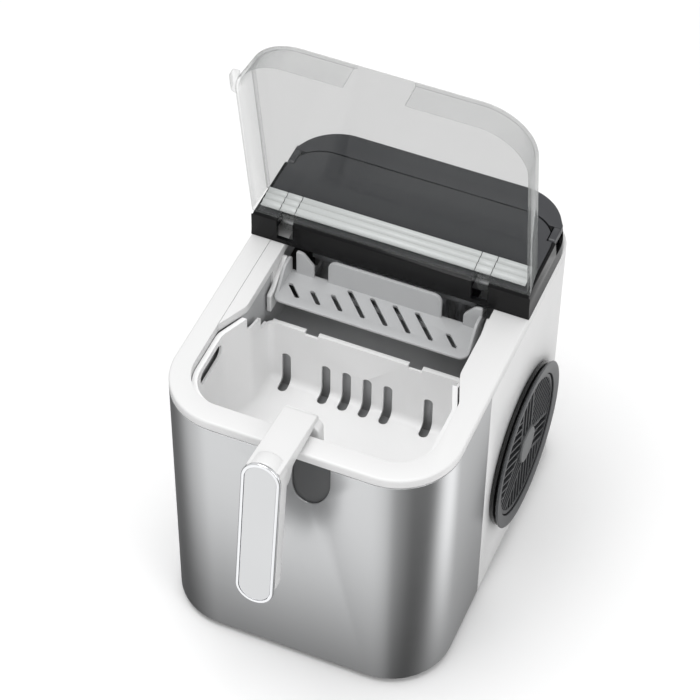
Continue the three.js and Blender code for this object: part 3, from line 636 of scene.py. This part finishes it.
# ------------------------------------------------------------------ ice works
def ice_pusher():
    y0, y1, z, top = 147.7, 182.3, 213.2, 238.2
    plate = rounded([(-79.9, y0, 7), (76.9, y0, 7), (76.9, y1, 3), (-79.9, y1, 3)], 10)
    plate = slab(plate, z, z + 2.4, "z", 0.7)
    tools = []
    for x, a, b in ((-67.6, 155.6, 168), (-49.8, 155.4, 167), (-33, 156, 169.6), (-19, 156.2, 178.6),
                    (-0.4, 155.7, 178), (18, 155.5, 178), (36, 155.5, 177.8), (60, 155.7, 167.2)):
        s = (b - a) * 0.47
        tools.append(slab(rounded([(x - s - 2.4, b, 1.2), (x + s - 2.4, a, 1.2), (x + s + 2.4, a, 1.2),
                                   (x - s + 2.4, b, 1.2)], 4), z - 4, z + 6))
    tab = slab(rounded([(-47.2, z + 1, 0), (44.4, z + 1, 0), (44.4, top, 7), (-47.2, top, 7)], 10),
               y1 - 2.8, y1, "y", 0.6)
    clip = rounded([(154, z + 1, 0), (y1, z + 1, 0), (y1, 231, 4), (170, 231, 8)], 8)
    clips = [slab(clip, a, a + 2.4, "x", 0.5) for a in (-79.8, 74.4)]
    lobes = []
    for x, side in ((-73.4, 1), (76.4, -1)):
        lobe = rounded([(x, z + 1, 0), (x, top, 1.5), (x + side * 6, top - 0.8, 5), (x + side * 14.5, 227, 5),
                        (x + side * 14.5, z + 1, 0)], 8)
        lobes.append(slab(lobe, y1 - 2.8, y1, "y", 0.6))
    return eased(join(cut(plate, *tools), tab, *clips, *lobes), 0.3)


def guide(side, ledge=False):
    """Inner side wall beside the pusher; the left one carries a ledge level with the deck."""
    wall = slab(rounded([(148, 200, 0), (181, 200, 0), (181, 232, 2), (157, 219, 5), (148, 216.4, 2)], 8),
                *sorted((side * 80.4, side * 84.1)), "x", 0.8)
    if not ledge:
        return wall
    plan = rounded([(-95.8, 88.5, 0), (-84, 114, 16), (-84, 225, 0), (-95.8, 225, 0)], 12)
    return join(wall, slab(plan, 231.5, 238.7, "z", 0.5, 3, 0.2), block(-85.7, -83.9, 160, 181, 205, 232))


# ------------------------------------------------------------------ side grille
def repeat_tree():
    """Geometry Nodes: copies the piece along a line, joins the copies and gives them their material."""
    tree = bpy.data.node_groups.new("copies_along_a_line", "GeometryNodeTree")
    face = tree.interface
    face.new_socket("Geometry", in_out="INPUT", socket_type="NodeSocketGeometry")
    face.new_socket("Count", in_out="INPUT", socket_type="NodeSocketInt")
    face.new_socket("Step", in_out="INPUT", socket_type="NodeSocketVector")
    face.new_socket("Material", in_out="INPUT", socket_type="NodeSocketMaterial")
    face.new_socket("Geometry", in_out="OUTPUT", socket_type="NodeSocketGeometry")
    start = add(tree, "NodeGroupInput")
    line = add(tree, "GeometryNodeMeshLine", {"mode": "OFFSET"},
               {"Count": start.outputs["Count"], "Offset": start.outputs["Step"]})
    copies = add(tree, "GeometryNodeInstanceOnPoints", {},
                 {"Points": line.outputs[0], "Instance": start.outputs["Geometry"]})
    real = add(tree, "GeometryNodeRealizeInstances", {}, {"Geometry": copies.outputs[0]})
    paint = add(tree, "GeometryNodeSetMaterial", {},
                {"Geometry": real.outputs[0], "Material": start.outputs["Material"]})
    add(tree, "NodeGroupOutput", {}, {"Geometry": paint.outputs[0]})
    return tree


REPEAT = repeat_tree()


def repeated(bm, count, step, material):
    obj = as_object(bm)
    modifier = obj.modifiers.new("copies", "NODES")
    modifier.node_group = REPEAT
    wanted = {"Count": count, "Step": step, "Material": material}
    for item in REPEAT.interface.items_tree:
        if item.in_out == "INPUT" and item.name in wanted:
            modifier[item.identifier] = wanted[item.name]
    bpy.context.view_layer.update()
    out = evaluated(obj)
    discard(obj)
    return out


def grille_ring():
    x = HALF_W + 0.3
    return lathe([(58.2, x), (66, x), (66.7, x + 0.7), (66.7, x + 3), (66, x + 3.7), (64.8, x + 4.2),
                  (64.8, x + 5), (66.5, x + 5.2), (66.5, x + 5.4), (58.2, x + 5.4)], "x", (FAN_Y, FAN_Z), 160)


def grille_face_ring():
    x = HALF_W + 5.8
    return lathe([(58.4, x), (67.4, x), (68.2, x + 0.8), (68.2, x + 1.4), (67.6, x + 2), (64.6, x + 2.2),
                  (60.5, x + 1.2), (58.4, x + 0.9)], "x", (FAN_Y, FAN_Z), 160)


def grille_slats():
    """Three narrow bands and three wedges round the hub; each has slats along its own middle direction."""
    x0, x1, strip, pitch = HALF_W + 2.6, HALF_W + 5.0, 12, 6.9
    disc = rod("x", (FAN_Y, FAN_Z), 55.4, x0 - 0.1, x1 + 0.1, 96, 0)
    tip = strip / math.sin(math.pi / 3)
    band = [(0, -strip), (60, -strip), (60, strip), (0, strip)]
    wedge = [(tip + 1, 0), (tip + 46, -78), (120, -78), (120, 78), (tip + 46, 78)]
    sectors = []
    for k in range(6):
        count = 4 if k % 2 else 15
        low = -pitch * (count - 1) / 2
        bars = repeated(block(x0, x1, 8, 60, low - 0.75, low + 0.75, 0.15), count, (0, 0, pitch), SLAT_GREY)
        bars = meet(bars, slab(band if k % 2 else wedge, x0 - 1, x1 + 1, "x"))
        turn = Matrix.Translation((0, FAN_Y, FAN_Z)) @ Matrix.Rotation(math.radians(30 + 60 * k), 4, "X")
        sectors.append(moved(bars, turn))
    slats = meet(merged(*sectors), disc)
    rim = lathe([(54.4, x0), (57.8, x0), (57.8, x1), (57.2, x1 + 0.5), (54.8, x1 + 0.5), (54.4, x1)], "x",
                (FAN_Y, FAN_Z), 120)
    seams = []
    for k in range(6):
        middle = strip if k % 2 else -strip
        rib = block(x0, x1, 3, 56, middle - 0.5, middle + 0.5, 0.2)
        turn = Matrix.Rotation(math.radians(90 + 120 * (k // 2)), 4, "X")
        seams.append(moved(rib, Matrix.Translation((0, FAN_Y, FAN_Z)) @ turn))
    hub = rod("x", (FAN_Y, FAN_Z), 15.6, x0, x1 + 0.3, 64, 0.3)
    return merged(slats, rim, *seams, hub)


# ------------------------------------------------------------------ make the pieces
piece("steel_wrap_sheet", steel_wrap(), STEEL, "housing", ["steel_wrap"])
piece("rear_shell", rear_housing(), WHITE, "housing", ["rear_housing"])
piece("deck", top_deck(), WHITE, "housing", ["top_deck"])
piece("floor_plate", base_plate(), MATT_BLACK, "housing", ["base_plate"])
FEET = (("front_left", -76, 40), ("front_right", 76, 40), ("rear_left", -84, 262), ("rear_right", 84, 262))
for where, x, y in FEET:
    piece(f"rubber_foot_{where}", foot(x, y), RUBBER, "housing", [f"foot_{where}"])
piece("black_hood", top_housing(), GLOSS_BLACK, "housing", ["top_housing"])
piece("touch_plate", control_plate(), PANEL_BLACK, "housing", ["control_plate"])
piece("folding_handle", carry_handle(), PANEL_BLACK, "carry_handle", ["carry_handle"])
lid_plate, lid_skirt = lid_shell()
piece("lid_window", lid_plate, CLEAR, "lid", ["lid"])
piece("lid_skirt", lid_skirt, CLEAR_EDGE, "lid")
piece("lid_bar", hinge_bar(), FROSTED, "lid")
piece("basket_shell", ice_basket(), LINER, "basket", ["ice_basket"])
piece("basket_arm", basket_handle(), WHITE, "basket", ["basket_handle"])
piece("grip_trim", handle_ring(), CHROME, "basket", ["handle_ring"])
piece("grip_face", grip_slab(12.2, 0.35, 1.3, 0.3), SATIN, "basket", ["handle_plate"])
piece("ice_shovel", ice_pusher(), TRAY_GREY, "pusher", ["ice_pusher"])
piece("left_side_wall", guide(-1, True), WHITE, "housing", ["left_guide"])
piece("right_side_wall", guide(1), WHITE, "housing", ["right_guide"])
piece("grille_bezel", grille_ring(), GRILLE_BLACK, "housing", ["grille_ring"])
piece("grille_face_band", grille_face_ring(), BAND_GREY, "housing")
piece("grille_bars", grille_slats(), SLAT_GREY, "housing", ["grille_mesh"])
piece("grille_cap", lathe([(0, HALF_W + 5.5), (15, HALF_W + 5.5), (15, HALF_W + 6.2), (14.4, HALF_W + 7),
                           (0, HALF_W + 7.4)], "x", (FAN_Y, FAN_Z), 72), RING_GREY, "housing",
      ["grille_hub"])

CAD_FINISH = {
    "water_tank": TANK_GREY, "notch_backing": DARK_GREY, "control_board": BOARD, "hinge_pin_left": SATIN,
    "hinge_pin_right": SATIN, "evaporator": FIN_METAL,
    "tray_motor": MATT_BLACK, "water_pump": MATT_BLACK, "compressor": ENAMEL, "condenser": FIN_METAL,
    "fan_motor": MATT_BLACK, "fan_shroud": MATT_BLACK, "main_board": BOARD, "power_inlet": MATT_BLACK,
    "water_tray": TRAY_GREY, "fan": MATT_BLACK, "drain_cap": TRAY_GREY,
}
for node, material in CAD_FINISH.items():
    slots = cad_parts[node].data.materials
    slots.clear()
    slots.append(material)

# ------------------------------------------------------------------ camera, floor and light
AZIMUTH, ELEVATION, ROLL = math.radians(22.33), math.radians(48.13), math.radians(0.79)
SHARE = 224 / 220                                  # size of the body against the one the camera was solved for
DISTANCE, SLIDE_X, SLIDE_Y = 1925.85 * SHARE, -3.58 * SHARE, 63.32 * SHARE
SENSOR = 36                                        # millimetres
LENS = SENSOR * 2564.75 / 700                      # focal length, millimetres


def camera():
    back = Vector((math.sin(AZIMUTH) * math.cos(ELEVATION), -math.cos(AZIMUTH) * math.cos(ELEVATION),
                   math.sin(ELEVATION)))
    right = Vector((0, 0, 1)).cross(back).normalized()
    up = back.cross(right)
    right, up = (right * math.cos(ROLL) + up * math.sin(ROLL), up * math.cos(ROLL) - right * math.sin(ROLL))
    spot = Vector((0, 120, 120)) * SHARE + back * DISTANCE + right * SLIDE_X + up * SLIDE_Y
    data = bpy.data.cameras.new("camera")
    data.lens = LENS
    data.sensor_width = SENSOR
    data.clip_end = 50
    obj = bpy.data.objects.new("camera", data)
    place_at = place([spot])[0]
    turn = Matrix((right, up, back)).transposed().to_4x4()
    obj.matrix_world = Matrix.Translation(place_at) @ turn
    bpy.context.scene.collection.objects.link(obj)
    bpy.context.scene.camera = obj


def floor():
    bm = bmesh.new()
    bmesh.ops.create_grid(bm, x_segments=8, y_segments=8, size=12)
    mesh = bpy.data.meshes.new("studio_floor")
    bm.to_mesh(mesh)
    bm.free()
    mesh.materials.append(finish_material("white_studio_floor", "f7f7f7", 0.9, ior=1.3))
    obj = bpy.data.objects.new("studio_floor", mesh)
    obj.location.z = -0.0002
    bpy.context.scene.collection.objects.link(obj)
    obj.visible_glossy = False


def area_light(name, at, aim, size, power):
    data = bpy.data.lights.new(name, "AREA")
    data.shape = "RECTANGLE"
    data.size, data.size_y = size
    data.energy = power
    obj = bpy.data.objects.new(name, data)
    at, aim = Vector(at), Vector(aim)
    obj.matrix_world = Matrix.Translation(at) @ (at - aim).to_track_quat("Z", "Y").to_matrix().to_4x4()
    bpy.context.scene.collection.objects.link(obj)


def shade_board():
    """Sheet just under the table, seen only in reflections: a painted shadow that darkens the floor's
    reflections near the body.
    """
    bm = bmesh.new()
    bmesh.ops.create_grid(bm, x_segments=8, y_segments=8, size=3)
    mesh = bpy.data.meshes.new("shade_board")
    bm.to_mesh(mesh)
    bm.free()
    material = bpy.data.materials.new("painted_reflection_shadow")
    material.use_nodes = True
    tree = material.node_tree
    tree.nodes.clear()
    place_at = add(tree, "ShaderNodeTexCoord").outputs["Object"]
    outside = add(tree, "ShaderNodeVectorMath", {"operation": "ABSOLUTE"}, {0: place_at})
    outside = add(tree, "ShaderNodeVectorMath", {"operation": "SUBTRACT"}, {0: outside.outputs[0]})
    outside.inputs[1].default_value = (HALF_W / 1000 - 0.04, DEPTH / 2000 - 0.04, 0)
    outside = add(tree, "ShaderNodeVectorMath", {"operation": "MAXIMUM"}, {0: outside.outputs[0]})
    outside.inputs[1].default_value = (0, 0, 0)
    reach = add(tree, "ShaderNodeVectorMath", {"operation": "LENGTH"}, {0: outside.outputs[0]})
    # painted shadow in reflections: 0.3 of the light passes at the body's edge, rising to all of it 150 mm out
    clear = add(tree, "ShaderNodeMapRange", {"From Min": 0.04, "From Max": 0.19, "To Min": 0.3},
                {"Value": reach.outputs["Value"]})
    painted_shadow = add(tree, "ShaderNodeBsdfTransparent", {}, {"Color": clear.outputs[0]})
    add(tree, "ShaderNodeOutputMaterial", {}, {"Surface": painted_shadow.outputs[0]})
    mesh.materials.append(material)
    obj = bpy.data.objects.new("shade_board", mesh)
    obj.location = (MIDDLE, FRONT + DEPTH / 2000, -0.003)
    bpy.context.scene.collection.objects.link(obj)
    for kind in ("camera", "diffuse", "shadow", "transmission", "volume_scatter"):
        setattr(obj, f"visible_{kind}", False)


# brightness seen in reflections by compass bearing, degrees from the front towards the right
PANELS = ((-180, 0.8), (-160, 0.5), (-130, 0.15), (-90, 0.15), (-72, 0.4), (-58, 0.7), (-38, 0.9),
          (-24, 1.08), (-8, 1.0), (8, 0.8), (22, 0.42), (38, 0.24), (55, 0.09), (73, 0.08), (83, 0.25),
          (92, 0.7), (104, 1.3), (115, 1.55), (127, 1.0), (140, 0.75), (157, 0.88), (180, 0.8))
BRIGHTEST, ROOM = 1.6, 0.72                        # scale of the panels' curve; brightness above the horizon


def studio():
    """White room above; below the horizon, reflections see tall light and dark panels round the table."""
    world = bpy.data.worlds.new("studio")
    world.use_nodes = True
    tree = world.node_tree
    tree.nodes.clear()
    way = add(tree, "ShaderNodeTexCoord").outputs["Generated"]
    parts = add(tree, "ShaderNodeSeparateXYZ", {}, {"Vector": way})
    back = add(tree, "ShaderNodeMath", {"operation": "MULTIPLY"}, {0: parts.outputs["Y"]})
    back.inputs[1].default_value = -1
    bearing = add(tree, "ShaderNodeMath", {"operation": "ARCTAN2"},
                  {0: parts.outputs["X"], 1: back.outputs[0]})
    share = add(tree, "ShaderNodeMapRange", {"From Min": -math.pi, "From Max": math.pi},
                {"Value": bearing.outputs[0]})
    ramp = add(tree, "ShaderNodeFloatCurve", {}, {"Value": share.outputs[0]})
    curve = ramp.mapping.curves[0]
    for degrees, bright in PANELS:
        at, level = (degrees + 180) / 360, bright / BRIGHTEST
        if degrees in (-180, 180):
            curve.points[0 if degrees < 0 else -1].location = (at, level)
        else:
            curve.points.new(at, level)
    ramp.mapping.update()
    lift = add(tree, "ShaderNodeMath", {"operation": "MULTIPLY"}, {0: ramp.outputs[0]})
    lift.inputs[1].default_value = BRIGHTEST
    above = add(tree, "ShaderNodeMapRange", {"From Min": -0.08, "From Max": 0.08},
                {"Value": parts.outputs["Z"]})
    room = add(tree, "ShaderNodeMix", {"data_type": "FLOAT"},
               {"Factor": above.outputs[0], "A": lift.outputs[0]})
    room.inputs["B"].default_value = ROOM
    light = add(tree, "ShaderNodeBackground", {"Color": (1, 1, 1, 1)}, {"Strength": room.outputs[0]})
    add(tree, "ShaderNodeOutputWorld", {}, {"Surface": light.outputs[0]})
    bpy.context.scene.world = world
    area_light("top_softbox", (-0.3, -0.2, 2.2), (0, 0, 0.1), (1.4, 1.4), 24)
    area_light("right_softbox", (1.6, -0.9, 1.3), (0, 0, 0.1), (0.8, 1.4), 8)
    bpy.context.scene.view_settings.view_transform = "Standard"


camera()
floor()
shade_board()
studio()
